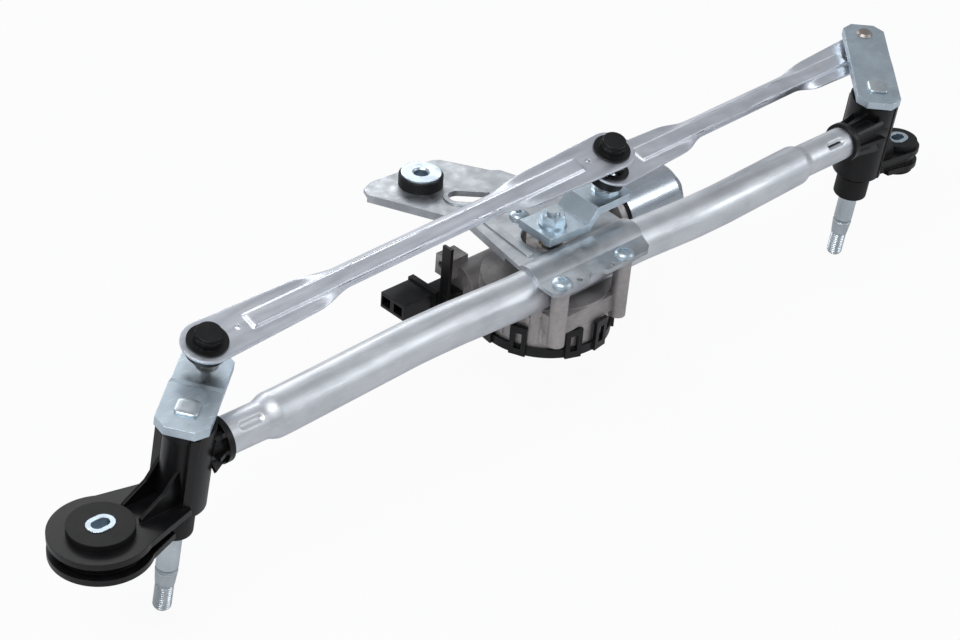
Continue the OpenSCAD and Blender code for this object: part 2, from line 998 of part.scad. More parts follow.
module crank() {
  h0 = crank_under;
  h1 = crank_under + crank_step;
  end = crank_length + crank_nose;
  color([0.74, 0.78, 0.82])
    at_crank()
      difference() {
        intersection() {
          translate([0, 0, h0 - over])
            linear_extrude(crank_step + lever_t + 2 * over)
              polygon([
                [-crank_tail, -crank_w / 2],
                [crank_step_out, -crank_w / 2],
                [end - crank_corner, -crank_nose],
                [end, -crank_nose + crank_corner],
                [end, crank_nose - crank_corner],
                [end - crank_corner, crank_nose],
                [crank_step_out, crank_w / 2],
                [-crank_tail, crank_w / 2]
              ]);
          translate([0, crank_w, 0])
            rotate([90, 0, 0])
              linear_extrude(2 * crank_w)
                polygon([
                  [-crank_w, h0],
                  [crank_step_in + crank_bend, h0],
                  [crank_step_out + crank_bend, h1],
                  [end + crank_bend, h1],
                  [end + crank_bend, h1 + lever_t],
                  [crank_step_out - crank_bend, h1 + lever_t],
                  [crank_step_in - crank_bend, h0 + lever_t],
                  [-crank_w, h0 + lever_t]
                ]);
        }
        translate([0, 0, h0 - over])
          cylinder(r = shaft_end_r + seat_fit, h = lever_t + 2 * over);
        translate([crank_length, 0, h1 - over])
          cylinder(r = stud_root_r + seat_fit, h = lever_t + 2 * over);
      }
}

module crank_nut() {
  color([0.75, 0.76, 0.78])
    at_crank()
      translate([0, 0, crank_under + lever_t])
        difference() {
          union() {
            cylinder(r = nut_flange_r, h = nut_flange_h);
            intersection() {
              cylinder(r = nut_r, h = nut_h, $fn = 6);
              cylinder(r1 = nut_cone_low_r, r2 = nut_cone_top_r, h = nut_h);
            }
          }
          translate([0, 0, -over])
            cylinder(r = shaft_end_r + seat_fit, h = nut_h + 2 * over);
        }
}

module crank_ball_stud() {
  color([0.66, 0.67, 0.69])
    at_crank()
      translate([crank_length, 0, 0]) {
        translate([0, 0, crank_top - lever_t - stud_base_h])
          cylinder(r = stud_base_r, h = stud_base_h);
        translate([0, 0, crank_top - lever_t])
          cylinder(r = stud_root_r, h = lever_t);
        translate([0, 0, crank_top])
          cylinder(r = stud_hex_r, h = stud_hex_t, $fn = 6);
        translate([0, 0, crank_top])
          cylinder(r = crank_neck_r, h = high_ball_z - crank_top);
        translate([0, 0, low_ball_z])
          sphere(r = crank_ball_r);
        translate([0, 0, high_ball_z])
          sphere(r = crank_ball_r);
      }
}

module crank_washers() {
  color([0.8, 0.81, 0.83])
    at_crank()
      for (i = [0 : 1])
        translate([crank_length, 0, crank_top + stud_hex_t + i * crank_washer_t])
          ring(crank_washer_r - i * crank_washer_step, crank_neck_r + seat_fit, crank_washer_t);
}

// rods

// plan of one flat rod end: round at the ball, then narrowing to the bent middle
module wing_outline() {
  circle(r = rod_end_r);
  polygon([
    [0, rod_end_r],
    [wing_end, wing_w / 2],
    [flange_mid, rod_web_w / 2 + back_flange * cos(back_slope) - flange_fade],
    [flange_end, rod_web_w / 2],
    [flange_end, -rod_web_w / 2],
    [flange_mid, -rod_web_w / 2 - front_flange * cos(front_slope) - front_fade],
    [wing_end, -wing_w / 2],
    [0, -rod_end_r]
  ]);
}

// section of the bent middle: raised web, long sloping flange behind, steep short one in front
module bent_section() {
  top = sheet_up + web_rise;
  w = rod_web_w / 2;
  t = rod_t;
  b = back_slope;
  f = front_slope;
  back_tip = [w + back_flange * cos(b), top - back_flange * sin(b)];
  front_tip = [-w - front_flange * cos(f), top - front_flange * sin(f)];
  polygon([
    front_tip,
    [-w, top],
    [w, top],
    back_tip,
    back_tip - t * [sin(b), cos(b)],
    [w - t * tan(b / 2), top - t],
    [t * tan(f / 2) - w, top - t],
    front_tip + t * [sin(f), -cos(f)]
  ]);
}

// pressed sheet link: wide flat ends, a raised web from end to end and two bent flanges
module link_rod(l) {
  low = sheet_up - rod_t;
  top = sheet_up + web_rise;
  edge_low = top - rod_t - back_flange;
  difference() {
    union() {
      for (e = [0, 1])
        translate([e * l, 0, 0])
          mirror([e, 0, 0])
            translate([0, 0, low])
              linear_extrude(rod_t)
                wing_outline();
      translate([web_start, -rod_web_w / 2, low])
        cube([l - 2 * web_start, rod_web_w, rod_t + web_rise]);
      // the flanges rise into the flat ends
      intersection() {
        translate([wing_end, 0, 0])
          rotate([90, 0, 90])
            linear_extrude(l - 2 * wing_end)
              bent_section();
        translate([0, rod_end_w, 0])
          rotate([90, 0, 0])
            linear_extrude(2 * rod_end_w)
              polygon([
                [wing_end, low],
                [flange_end, edge_low],
                [l - flange_end, edge_low],
                [l - wing_end, low],
                [l - wing_end, top + over],
                [wing_end, top + over]
              ]);
      }
    }
    translate([web_start + rod_t, rod_t - rod_web_w / 2, low - over])
      cube([l - 2 * web_start - 2 * rod_t, rod_web_w - 2 * rod_t, web_rise + over]);
    for (e = [0, 1])
      translate([e * l, 0, 0])
        mirror([e, 0, 0]) {
          translate([rod_hole_at, 0, low - over])
            cylinder(r = rod_hole_r, h = rod_t + 2 * over);
          translate([0, 0, low - over])
            cylinder(r = socket_neck_r + seat_fit, h = rod_t + 2 * over);
        }
  }
}

module near_rod() {
  color([0.76, 0.78, 0.82])
    along_rod(near_rod_from, near_rod_to)
      link_rod(near_rod_length);
}

module far_rod() {
  color([0.76, 0.78, 0.82])
    along_rod(far_rod_to, far_rod_from)
      link_rod(far_rod_length);
}

// moulded shell round a ball: collar under the sheet, neck through it, flange on top
module socket_body(bottom) {
  translate([0, 0, bottom])
    cylinder(r = socket_r, h = sheet_up - rod_t - bottom);
  translate([0, 0, bottom])
    cylinder(r = socket_neck_r, h = sheet_up - bottom + over);
  translate([0, 0, sheet_up])
    cylinder(r = socket_r, h = socket_flange_t);
}

module cap_dome() {
  cylinder(r = cap_dome_r, h = cap_dome_h - cap_step, $fn = cap_dome_sides);
  translate([0, 0, cap_dome_h - cap_step])
    cylinder(r = cap_dome_r - cap_inset, h = cap_step);
}

module near_socket() {
  color([0.07, 0.07, 0.075])
    along_rod(near_rod_from, near_rod_to)
      difference() {
        union() {
          socket_body(socket_low);
          translate([0, 0, sheet_up + socket_flange_t])
            cap_dome();
        }
        translate([0, 0, socket_low - over])
          cylinder(r = socket_cavity_r, h = sheet_up + over + socket_roof - socket_low);
      }
}

module crank_socket_top() {
  color([0.07, 0.07, 0.075])
    along_rod(near_rod_from, near_rod_to)
      translate([near_rod_length, 0, 0])
        difference() {
          union() {
            socket_body(socket_low - socket_lower);
            translate([0, 0, sheet_up + socket_flange_t])
              cap_dome();
          }
          sphere(r = crank_ball_r + ball_fit);
          translate([0, 0, -crank_ball_r])
            cylinder(r = socket_mouth_r, h = crank_ball_r);
        }
}

module crank_socket_low() {
  color([0.07, 0.07, 0.075])
    along_rod(far_rod_to, far_rod_from)
      difference() {
        socket_body(socket_low - socket_lower);
        sphere(r = crank_ball_r + ball_fit);
        translate([0, 0, -crank_ball_r])
          cylinder(r = socket_mouth_r, h = crank_ball_r + socket_lip);
        translate([0, 0, socket_lip - seat_fit])
          cylinder(r1 = socket_mouth_r, r2 = socket_cavity_r, h = sheet_up + 4 * over - socket_lip);
      }
}

module far_socket() {
  color([0.07, 0.07, 0.075])
    along_rod(far_rod_to, far_rod_from)
      translate([far_rod_length, 0, 0])
        difference() {
          union() {
            socket_body(-loose_ball_r - far_socket_drop);
            translate([0, 0, -loose_ball_r - far_socket_drop])
              rotate([180, 0, 0])
                cylinder(r1 = socket_r - far_socket_round, r2 = socket_r - far_socket_base,
                     h = far_socket_base_h);
          }
          translate([0, 0, far_socket_floor - loose_ball_r - far_socket_drop])
            cylinder(r = socket_cavity_r, h = sheet_up + loose_ball_r + far_socket_drop + over);
        }
}

// motor plate and its rubber mount

plate_points = [
  [-52.5, 97.5], [-50, 103.5], [-41.6, 106.7], [4, 104.2], [8.5, 101.5], [24.1, 74.8], [28.9, 71.3],
  [32.7, 59.8], [46.4, 16], [48, 7.2], [46, -14.7], [45, -27.5], [38.8, -40.2], [34.4, -43.5],
  [0.8, -44.4], [-1, -42], [-4, -40.5], [-8.4, -40.5], [-11.4, -42], [-13, -44.5],
  [-36, -45.3], [-40.5, -42], [-39.9, -31.6], [-33, 3], [-27.5, 30.4], [-25.7, 39.4]
];

module plate_outline() {
  polygon(plate_points);
}

// a strip that follows part of the plate's edge, for the lips folded down there
module edge_lip(from, to) {
  polygon(concat(
    [for (i = [from : to]) plate_point(i)],
    [for (i = [to : -1 : from]) plate_point(i) + plate_t * lip_normal(i, from, to)]
  ));
}

function plate_point(i) = plate_points[i % len(plate_points)];

// unit normal into the plate of the edge that starts at point i
function edge_in(i) =
  let (d = (plate_point(i + 1) - plate_point(i)) / norm(plate_point(i + 1) - plate_point(i)))
  [d[1], -d[0]];

// mitred at the corners inside the strip, square at its two ends
function lip_normal(i, from, to) =
  i == from ? edge_in(i)
  : i == to ? edge_in(i - 1)
  : (edge_in(i - 1) + edge_in(i)) / (1 + edge_in(i - 1) * edge_in(i));

module motor_plate() {
  saddle_half = sqrt(pow(saddle_r, 2) - pow(tube_drop, 2));
  color([0.62, 0.63, 0.65])
    in_frame()
      difference() {
        union() {
          translate([0, 0, -plate_t])
            linear_extrude(plate_t)
              plate_outline();
          // saddle pressed up over the tube
          intersection() {
            translate([0, 0, -plate_t])
              linear_extrude(saddle_r)
                plate_outline();
            translate([-near_reach / 2, -tube_set, tube_z])
              bar_x(saddle_r, near_reach);
          }
          // folded lips on the long left edge and the right edge
          translate([0, 0, -plate_lip])
            linear_extrude(plate_lip)
              union() {
                edge_lip(23, 26);
                edge_lip(8, 10);
              }
          // rim round the slot and a bead along the arm
          translate([slot_x, slot_y, -plate_t / 2])
            rotate([0, 0, slot_turn])
              linear_extrude(plate_t / 2 + slot_rim_h)
                slot_2d(slot_l + 2 * slot_rim, slot_w + 2 * slot_rim);
          translate([bead_x, bead_y, 0])
            rotate([0, 0, bead_turn])
              linear_extrude(bead_h)
                slot_2d(bead_l, bead_w);
        }
        translate([-near_reach / 2, -tube_set, tube_z])
          bar_x(tube_r + seat_fit, near_reach);
        difference() {
          translate([0, 0, -plate_t - over])
            cylinder(r = shaft_hole_r, h = plate_t + 2 * over);
          translate([-shaft_hole_r - over, -tube_set + saddle_half - 2 * shaft_hole_r, -plate_t - 2 * over])
            cube([2 * (shaft_hole_r + over), 2 * shaft_hole_r + saddle_edge, saddle_r]);
        }
        translate([slot_x, slot_y, -plate_t - over])
          rotate([0, 0, slot_turn])
            linear_extrude(plate_t + 2 * slot_rim_h)
              slot_2d(slot_l, slot_w);
        translate([bush_x, bush_y, -plate_t - over])
          cylinder(r = plate_hole_r, h = plate_t + 2 * over);
        for (p = screw_places)
          translate([p[0], p[1], -plate_t - over])
            cylinder(r = screw_r + screw_play, h = plate_t + 2 * over);
        for (x = [tool_hole_left, tool_hole_right])
          translate([x, tool_hole_y, -plate_t - over])
            cylinder(r = tool_hole_r, h = plate_t + 2 * over);
      }
}

screw_places = [
  [screw_left_x, screw_front_y],
  [screw_right_x, screw_front_y],
  [screw_back_x, screw_back_y]
];

module plate_grommet() {
  color([0.05, 0.05, 0.055])
    in_frame()
      translate([bush_x, bush_y, bush_z])
        difference() {
          union() {
            translate([0, 0, plate_t / 2])
              cylinder(r = plate_grommet_r, h = bush_half - bush_flange_t - plate_t / 2);
            translate([0, 0, plate_grommet_step - bush_half])
              cylinder(r = plate_grommet_r, h = bush_half - plate_grommet_step - plate_t / 2);
            translate([0, 0, -plate_t])
              cylinder(r = plate_hole_r - seat_fit, h = 2 * plate_t);
          }
          translate([0, 0, -bush_half])
            cylinder(r = bush_r + bush_wall + seat_fit, h = 2 * bush_half);
        }
}

module plate_bush() {
  color([0.72, 0.75, 0.77])
    in_frame()
      translate([bush_x, bush_y, bush_z])
        difference() {
          union() {
            translate([0, 0, -bush_half])
              cylinder(r = bush_r + bush_wall, h = 2 * bush_half);
            translate([0, 0, bush_half - bush_flange_t])
              cylinder(r = bush_flange_r, h = bush_flange_t);
          }
          translate([0, 0, -bush_half - over])
            cylinder(r = bush_r, h = 2 * bush_half + 2 * over);
          translate([0, 0, bush_half - bush_chamfer])
            cylinder(r1 = bush_r, r2 = bush_r + bush_chamfer + over, h = bush_chamfer + over);
        }
}

module plate_screws() {
  color([0.78, 0.79, 0.8])
    in_frame()
      for (p = screw_places)
        translate([p[0], p[1], 0])
          difference() {
            union() {
              translate([0, 0, -screw_l])
                cylinder(r = screw_r, h = screw_l);
              pan_head(screw_head_r, screw_head_h);
            }
            translate([0, 0, screw_head_h - recess_depth])
              for (a = [0, 60, 120])
                rotate([0, 0, a])
                  translate([-recess_r, -recess_w / 2, 0])
                    cube([2 * recess_r, recess_w, 2 * recess_depth]);
          }
}

module pan_head(r, h) {
  rotate_extrude()
    polygon([
      [0, 0],
      [r, 0],
      [r, 0.25 * h],
      [0.93 * r, 0.55 * h],
      [0.75 * r, 0.82 * h],
      [0.5 * r, 0.96 * h],
      [0, h]
    ]);
}

// gear case

module worm_place() {
  at_motor()
    translate([0, worm_set, worm_z])
      children();
}

module case_posts() {
  // the posts stand under the plate's screws, square to the tube
  rotate([0, 0, -motor_turn]) {
    for (i = [0, 1])
      translate([screw_places[i][0], screw_places[i][1], post_low])
        cylinder(r = post_r, h = -post_low - plate_t);
    translate([screw_left_x, screw_front_y + post_gap, case_top - post_wall])
      cube([screw_right_x - screw_left_x, post_wall, post_wall - post_wall_top]);
    translate([screw_back_x, screw_back_y, case_top - over])
      cylinder(r = post_r + back_post_rim, h = -case_top - plate_t + over);
  }
}

module gear_housing() {
  color([0.6, 0.58, 0.57])
    at_motor()
      difference() {
        union() {
          translate([0, 0, case_bottom])
            cylinder(r = case_r, h = case_top - case_bottom);
          translate([0, 0, case_top - over])
            cylinder(r = case_boss_r, h = boss_h + over);
          case_posts();
          translate([tunnel_left, worm_set, worm_z])
            bar_x(tunnel_r, tunnel_right - tunnel_left);
          translate([tunnel_right, worm_set, worm_z])
            bar_x(can_r, motor_flange_t);
          // ribs between the flange and the chamber
          for (a = [rib_first : rib_turn : rib_last])
            translate([tunnel_right - rib_l + post_wall_top, worm_set, worm_z])
              rotate([a, 0, 0])
                rotate([90, 0, 0])
                  translate([0, 0, -rib_t / 2])
                    linear_extrude(rib_t)
                      polygon([
                        [0, 0],
                        [rib_l, 0],
                        [rib_l, can_r - rib_root],
                        [0, tunnel_r - rib_root]
                      ]);
          // lug with a hole at the tunnel's free end
          translate([tunnel_left + lug_x, worm_set + lug_y, worm_z + lug_z])
            cube([lug_l, lug_w, lug_h]);
          for (a = [buttress_first : buttress_turn : buttress_last])
            rotate([0, 0, a])
              translate([case_r - buttress_in, -rib_t / 2, case_bottom + buttress_end])
                cube([
                  buttress_in + buttress_out,
                  rib_t,
                  case_top - case_bottom - 2 * buttress_end
                ]);
        }
        translate([0, 0, case_bottom - over])
          cylinder(r = case_r - case_wall, h = case_top - case_wall - case_bottom + over);
        translate([0, 0, case_bottom])
          cylinder(r = shaft_r + run_fit + shaft_bush_wall + seat_fit, h = -case_bottom);
        translate([tunnel_left + tunnel_end, worm_set, worm_z])
          bar_x(tunnel_bore_r, tunnel_right - tunnel_left + motor_flange_t);
        translate([tunnel_left + lug_x - 2 * over, worm_set + lug_hole_y, worm_z + lug_hole_z])
          bar_x(lug_hole_r, lug_w);
        rotate([0, 0, -motor_turn])
          for (p = screw_places)
            translate([p[0], p[1], -screw_l - screw_end])
              cylinder(r = screw_r + seat_fit, h = screw_l + screw_end);
      }
}

module gear_cover() {
  color([0.06, 0.06, 0.065])
    at_motor()
      union() {
        translate([0, 0, case_bottom - cover_t])
          cylinder(r = case_r + cover_rim, h = cover_t);
        translate([0, 0, case_bottom - cover_t / 2])
          ring(case_r + cover_rim, case_r + seat_fit, cover_skirt + cover_t / 2);
        for (a = clip_angles)
          rotate([0, 0, a])
            translate([case_r + seat_fit + clip_gap, -clip_w / 2, case_bottom - cover_t])
              snap_clip();
      }
}

// U-shaped spring clip that stands on the cover's rim
module snap_clip() {
  leg = clip_w * clip_leg_share;
  difference() {
    cube([clip_t, clip_w, clip_h]);
    translate([-over, leg, 2 * clip_t])
      cube([clip_t + 2 * over, clip_w - 2 * leg, clip_h - 4 * clip_t]);
  }
}

module motor_connector() {
  y = worm_set + connector_in;
  x = connector_x;
  z = worm_z - connector_down;
  color([0.06, 0.06, 0.065])
    at_motor() {
      difference() {
        union() {
          translate([x, y, z])
            cube([connector_l, connector_w, connector_h]);
          translate([x + connector_l - connector_rim_l, y - connector_rim_out, z - connector_rim_up])
            cube([
              connector_rim_l,
              connector_w + 2 * connector_rim_out,
              connector_h + 2 * connector_rim_up
            ]);
          // foot against the end of the worm tunnel
          translate([x + connector_l - over, worm_set - foot_in, z])
            cube([tunnel_left - x - connector_l + over, y - worm_set + foot_out, connector_h]);
          // tall tab that holds the cable
          translate([x + connector_l, worm_set - foot_in, z])
            cube([tab_t, tab_w, tab_h]);
        }
        for (i = [0, 1])
          translate([x - over, y + pocket_wall + i * connector_w / 2, z + pocket_wall])
            cube([pocket_l + over, connector_w / 2 - 1.5 * pocket_wall,
               connector_h - 2 * pocket_wall]);
      }
    }
}

module connector_pins() {
  w = connector_w / 2 - 1.5 * pocket_wall;
  color([0.8, 0.7, 0.45])
    at_motor()
      for (k = [0, 1])
        for (i = [1 : 3])
          translate([
            connector_x + pocket_l - pin_l,
            worm_set + connector_in + pocket_wall + k * connector_w / 2 + i * w / 4 - pin_w / 2,
            worm_z - connector_down + connector_h / 2 - pin_h / 2
          ])
            cube([pin_l, pin_w, pin_h]);
}

module shaft_bushes() {
  color([0.6, 0.47, 0.28])
    at_motor()
      translate([0, 0, case_top - case_wall])
        ring(shaft_r + run_fit + shaft_bush_wall, shaft_r + run_fit, case_wall + shaft_bush_l);
}

// motor

module can_seal() {
  color([0.05, 0.05, 0.05])
    worm_place()
      translate([tunnel_right + motor_flange_t, 0, 0])
        rotate([0, 90, 0])
          ring(can_r + can_seal_out, can_r - can_seal_in, can_seal_t);
}

module motor_can() {
  r = can_r;
  w = can_wall;
  l = can_length;
  color([0.7, 0.73, 0.76])
    worm_place()
      translate([can_start, 0, 0])
        rotate([0, 90, 0])
          rotate_extrude()
            polygon([
              [r - w, 0],
              [r + can_rim_w, 0],
              [r + can_rim_w, can_rim_h],
              [r, can_rim_h + can_rim_slope],
              for (p = can_corner)
                [r - p[0], l - p[1]],
              [can_boss_foot_r, l],
              [can_boss_r, l + can_boss_side],
              [can_boss_end_r, l + can_boss_l],
              [0, l + can_boss_l],
              [0, l + can_boss_l - w],
              [can_boss_end_r - w / 2, l + can_boss_l - w],
              [can_boss_r - w, l + can_boss_side - w],
              [can_boss_r - w, l - w],
              for (p = can_inner_corner)
                [r - w - p[0], l - w - p[1]]
            ]);
}

module magnets() {
  color([0.18, 0.18, 0.2])
    worm_place()
      translate([can_start + magnet_from, 0, 0])
        rotate([0, 90, 0])
          for (i = [0 : magnet_count - 1])
            rotate([0, 0, (i + 0.5) * 360 / magnet_count])
              rotate_extrude(angle = magnet_angle)
                translate([can_r - can_wall - magnet_t, 0])
                  square([magnet_t - seat_fit, magnet_l]);
}

module brush_holder() {
  color([0.5, 0.36, 0.16])
    worm_place()
      translate([can_start + brush_at, 0, 0])
        rotate([0, 90, 0])
          union() {
            ring(can_r - can_wall - seat_fit, commutator_r + brush_card_gap, brush_card_t);
            for (a = [0, 120, 240])
              rotate([0, 0, a])
                translate([commutator_r + brush_gap, -brush_w / 2, brush_card_t - brush_sink])
                  cube([brush_l, brush_w, brush_h]);
          }
}

module armature_shaft() {
  color([0.7, 0.71, 0.73])
    worm_place() {
      translate([tunnel_left + arm_shaft_from, 0, 0])
        bar_x(arm_shaft_r, can_start + can_length + arm_shaft_past - tunnel_left - arm_shaft_from);
      // worm drawn as a wave of threads
      rotate([0, 90, 0])
        rotate_extrude()
          polygon([
            [0, -worm_l / 2],
            for (i = [0 : worm_turns - 1])
              each [
                [worm_r - worm_tooth, -worm_l / 2 + i * worm_l / worm_turns],
                [worm_r, -worm_l / 2 + (i + 0.4) * worm_l / worm_turns],
                [worm_r, -worm_l / 2 + (i + 0.6) * worm_l / worm_turns]
              ],
            [worm_r - worm_tooth, worm_l / 2],
            [0, worm_l / 2]
          ]);
    }
}

module shaft_bearings() {
  color([0.6, 0.6, 0.62])
    worm_place()
      for (x = [tunnel_left + arm_bearing_in, case_r - case_wall + arm_bearing_gap])
        translate([x, 0, 0])
          rotate([0, 90, 0])
            ring(tunnel_bore_r - seat_fit, arm_shaft_r + run_fit, arm_bearing_l);
}

module armature_core() {
  color([0.35, 0.35, 0.37])
    worm_place()
      translate([can_start + magnet_from + (magnet_l - core_l) / 2, 0, 0])
        rotate([0, 90, 0])
          difference() {
            ring(core_r, arm_shaft_r + seat_fit, core_l);
            for (i = [0 : core_slots - 1])
              rotate([0, 0, i * 360 / core_slots])
                translate([core_r - core_slot_depth, -core_slot_w / 2, -over])
                  cube([core_slot_depth + 2 * over, core_slot_w, core_l + 2 * over]);
          }
}

module commutator() {
  color([0.75, 0.45, 0.25])
    worm_place()
      translate([can_start + commutator_at, 0, 0])
        rotate([0, 90, 0])
          ring(commutator_r, arm_shaft_r + seat_fit, commutator_l);
}

module worm_wheel() {
  r = wheel_r;
  color([0.85, 0.83, 0.76])
    at_motor()
      translate([0, 0, worm_z - wheel_h / 2])
        difference() {
          linear_extrude(wheel_h)
            polygon([
              for (i = [0 : wheel_teeth - 1])
                for (s = [[0.05, -wheel_tooth], [0.35, 0], [0.65, 0], [0.95, -wheel_tooth]])
                  [(r + s[1]) * cos((i + s[0]) * 360 / wheel_teeth),
                   (r + s[1]) * sin((i + s[0]) * 360 / wheel_teeth)]
            ]);
          translate([0, 0, -over])
            cylinder(r = shaft_r + seat_fit, h = wheel_h + 2 * over);
          for (z = [-over, wheel_h - wheel_recess])
            translate([0, 0, z])
              ring(r - wheel_rim_w, shaft_r + wheel_hub_w, wheel_recess + over);
        }
}

module output_shaft() {
  color([0.7, 0.71, 0.73])
    at_motor() {
      translate([0, 0, worm_z - wheel_h / 2 - shaft_below])
        cylinder(r = shaft_r, h = crank_under - worm_z + wheel_h / 2 + shaft_below);
      translate([0, 0, crank_under - over])
        cylinder(r = shaft_end_r, h = shaft_end_z - crank_under + over);
    }
}

// the assembly

frame_tube();
pivot_housing(near_x, near_side, 1);  // near_housing
pivot_housing(far_x, far_side, -1);  // far_housing
pivot_bearings(near_x, near_side, 1);  // near_bearings
pivot_bearings(far_x, far_side, -1);  // far_bearings
ear_grommet(near_x, near_side, 1);  // near_grommet
ear_grommet(far_x, far_side, -1);  // far_grommet
ear_sleeve(near_x, near_side, 1);  // near_sleeve
ear_sleeve(far_x, far_side, -1);  // far_sleeve
spindle_seal(near_x, near_side, 1);  // near_seal
spindle_seal(far_x, far_side, -1);  // far_seal
motor_plate();
plate_grommet();
plate_bush();
plate_screws();
gear_housing();
gear_cover();
motor_connector();
connector_pins();
shaft_bushes();
can_seal();
motor_can();
magnets();
brush_holder();
shaft_bearings();
armature_shaft();
armature_core();
commutator();
worm_wheel();
output_shaft();
crank();
crank_nut();
crank_ball_stud();
crank_washers();
spindle(near_x, near_side, 1);  // near_spindle
pivot_washers(near_x, near_side, 1);  // near_washers
circlip(near_x, near_side, 1);  // near_circlip
near_lever();
near_ball_stud();
spindle(far_x, far_side, -1);  // far_spindle
pivot_washers(far_x, far_side, -1);  // far_washers
circlip(far_x, far_side, -1);  // far_circlip
far_lever();
far_ball_stud();
near_rod();
near_socket();
crank_socket_top();
far_rod();
far_socket();
crank_socket_low();
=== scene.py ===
import math
import bpy
from mathutils import Matrix, Vector


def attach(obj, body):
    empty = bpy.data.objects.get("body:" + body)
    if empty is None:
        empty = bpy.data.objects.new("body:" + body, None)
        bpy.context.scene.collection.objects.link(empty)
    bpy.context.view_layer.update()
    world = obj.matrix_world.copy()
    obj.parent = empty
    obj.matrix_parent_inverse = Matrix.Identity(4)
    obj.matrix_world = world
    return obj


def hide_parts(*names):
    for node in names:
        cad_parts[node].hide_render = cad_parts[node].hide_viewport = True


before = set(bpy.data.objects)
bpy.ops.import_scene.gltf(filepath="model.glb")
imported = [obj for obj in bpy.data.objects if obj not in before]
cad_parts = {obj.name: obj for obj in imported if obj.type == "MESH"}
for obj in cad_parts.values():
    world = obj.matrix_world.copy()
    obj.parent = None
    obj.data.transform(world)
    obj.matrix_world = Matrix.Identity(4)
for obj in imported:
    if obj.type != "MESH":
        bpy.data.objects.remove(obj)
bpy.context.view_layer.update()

# The studio: a white sweep under and behind the linkage, one broad soft lamp above the
# viewer's left, a cooler fill on the right and a strip behind for the edges of the steel.
floor_z = min(o.bound_box[0][2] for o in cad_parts.values()) - 0.0006
floor_mesh = bpy.data.meshes.new("floor")
floor_mesh.from_pydata([(-6, -6, floor_z), (6, -6, floor_z), (6, 6, floor_z), (-6, 6, floor_z)], [], [(0, 1, 2, 3)])
floor = bpy.data.objects.new("floor", floor_mesh)
bpy.context.scene.collection.objects.link(floor)
paper = bpy.data.materials.new("studio_paper")
paper.use_nodes = True
paper_nodes = paper.node_tree.nodes
paper_links = paper.node_tree.links
paper_skin = paper_nodes["Principled BSDF"]
paper_skin.inputs["Base Color"].default_value = (0.62, 0.62, 0.63, 1)
paper_skin.inputs["Roughness"].default_value = 0.9
paper_glow = paper_nodes.new("ShaderNodeEmission")
paper_glow.inputs["Color"].default_value = (1, 1, 1, 1)
paper_mix = paper_nodes.new("ShaderNodeMixShader")
paper_path = paper_nodes.new("ShaderNodeLightPath")
paper_share = paper_nodes.new("ShaderNodeMath")
paper_share.operation = "MULTIPLY"
paper_share.inputs[1].default_value = 0.93
paper_links.new(paper_path.outputs["Is Camera Ray"], paper_share.inputs[0])
paper_links.new(paper_share.outputs[0], paper_mix.inputs["Fac"])
paper_links.new(paper_skin.outputs[0], paper_mix.inputs[1])
paper_links.new(paper_glow.outputs[0], paper_mix.inputs[2])
paper_links.new(paper_mix.outputs[0], paper_nodes["Material Output"].inputs["Surface"])
floor_mesh.materials.append(paper)

world = bpy.data.worlds.new("studio")
bpy.context.scene.world = world
world.use_nodes = True
sky = world.node_tree.nodes
sky_links = world.node_tree.links
sky["Background"].inputs["Color"].default_value = (0.94, 0.96, 1.0, 1)
sky["Background"].inputs["Strength"].default_value = 0.42
sky_white = sky.new("ShaderNodeBackground")
sky_white.inputs["Color"].default_value = (1, 1, 1, 1)
sky_white.inputs["Strength"].default_value = 1.0
sky_path = sky.new("ShaderNodeLightPath")
sky_mix = sky.new("ShaderNodeMixShader")
sky_links.new(sky_path.outputs["Is Camera Ray"], sky_mix.inputs["Fac"])
sky_links.new(sky["Background"].outputs[0], sky_mix.inputs[1])
sky_links.new(sky_white.outputs[0], sky_mix.inputs[2])
sky_links.new(sky_mix.outputs[0], sky["World Output"].inputs["Surface"])


def soft_lamp(name, place, aim, size, watts, tint):
    lamp = bpy.data.lights.new(name, "AREA")
    lamp.shape = "RECTANGLE"
    lamp.size, lamp.size_y = size
    lamp.energy = watts
    lamp.color = tint
    holder = bpy.data.objects.new(name, lamp)
    holder.location = place
    holder.rotation_euler = (Vector(aim) - Vector(place)).to_track_quat("-Z", "Y").to_euler()
    bpy.context.scene.collection.objects.link(holder)


soft_lamp("key_lamp", (-1.1, -0.5, 1.6), (0, -0.1, 0), (1.3, 0.9), 26, (1, 1, 1))
soft_lamp("fill_lamp", (1.2, -1.3, 0.9), (0, -0.1, 0), (1.0, 0.7), 6.5, (0.96, 0.98, 1))
soft_lamp("edge_lamp", (0.5, 1.5, 1.0), (0, 0, 0), (1.6, 0.4), 10, (1, 1, 1))

# The camera stands where the photographer's did, fitted to the photograph's own points.
eye = bpy.data.cameras.new("camera")
eye.sensor_width = 36
eye.lens = 2200 / 960 * 36
eye.clip_start = 0.05
camera = bpy.data.objects.new("camera", eye)
right = Vector((0.72271231, -0.68758184, 0.07012941))
down = Vector((-0.34505446, -0.44686793, -0.82537657))
ahead = Vector((0.59885252, 0.57231134, -0.56021013))
turn = Matrix((right, -down, -ahead)).transposed().to_4x4()
camera.matrix_world = Matrix.Translation((-0.77094, -0.79395, 0.65705)) @ turn
bpy.context.scene.collection.objects.link(camera)
bpy.context.scene.camera = camera
bpy.context.scene.view_settings.view_transform = "Standard"


# The shapes below are worked in millimetres along a piece's own axes, then set in place.
def placed(point, start, axes):
    return Vector(start) * 0.001 + axes @ Vector(point) * 0.001


def smooth_step(v, low, high):
    v = min(max((v - low) / (high - low), 0.0), 1.0)
    return v * v * (3 - 2 * v)


